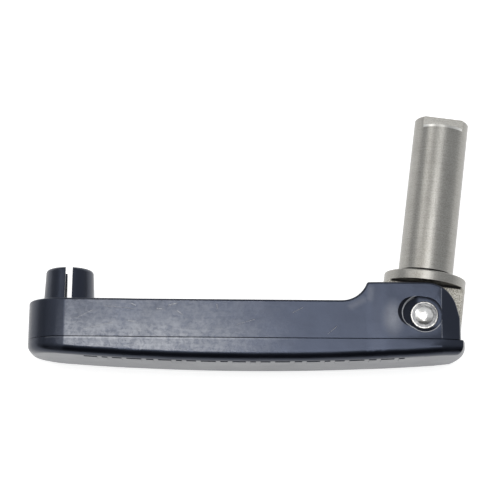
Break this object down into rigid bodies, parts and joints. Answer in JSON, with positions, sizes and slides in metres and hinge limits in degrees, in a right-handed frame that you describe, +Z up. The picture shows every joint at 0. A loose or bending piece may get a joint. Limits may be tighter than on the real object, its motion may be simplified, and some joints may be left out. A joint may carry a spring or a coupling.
{
  "type": "folding winch handle",
  "caption": "Moulded crank arm with a split snap post at one end and a turned steel drive spindle pinned in a fork at the other.",
  "frame": {"origin": "middle of the bottom of the bounding box, the handle lying on its flat side", "axes": "+X along the arm from the split post to the hinge, +Y the side the spindle stands on, +Z up and along the hinge pin"},
  "size_m": [0.1544, 0.0896, 0.03],
  "materials": {
    "arm_plastic": "satin black moulded plastic",
    "cover_plastic": "satin black moulded plastic",
    "spindle_steel": "fine turned stainless steel",
    "pin_steel": "bright peened stainless steel",
    "bush_steel": "bright stainless steel",
    "washer_nylon": "natural nylon"
  },
  "bodies": {
    "arm": {"arm_body": "arm_plastic", "back_cover": "cover_plastic", "hinge_pin": "pin_steel", "ear_bush_front": "bush_steel", "ear_bush_rear": "bush_steel", "thrust_washer_front": "washer_nylon", "thrust_washer_rear": "washer_nylon"},
    "spindle": {"spindle": "spindle_steel"}
  },
  "joints": [
    {"name": "handle_hinge", "type": "hinge", "parent": "arm", "child": "spindle", "pos_m": [0.05903, -0.02848, 0.015], "axis": [0, 0, 1], "range_deg": [-8.6, 11.3]}
  ]
}
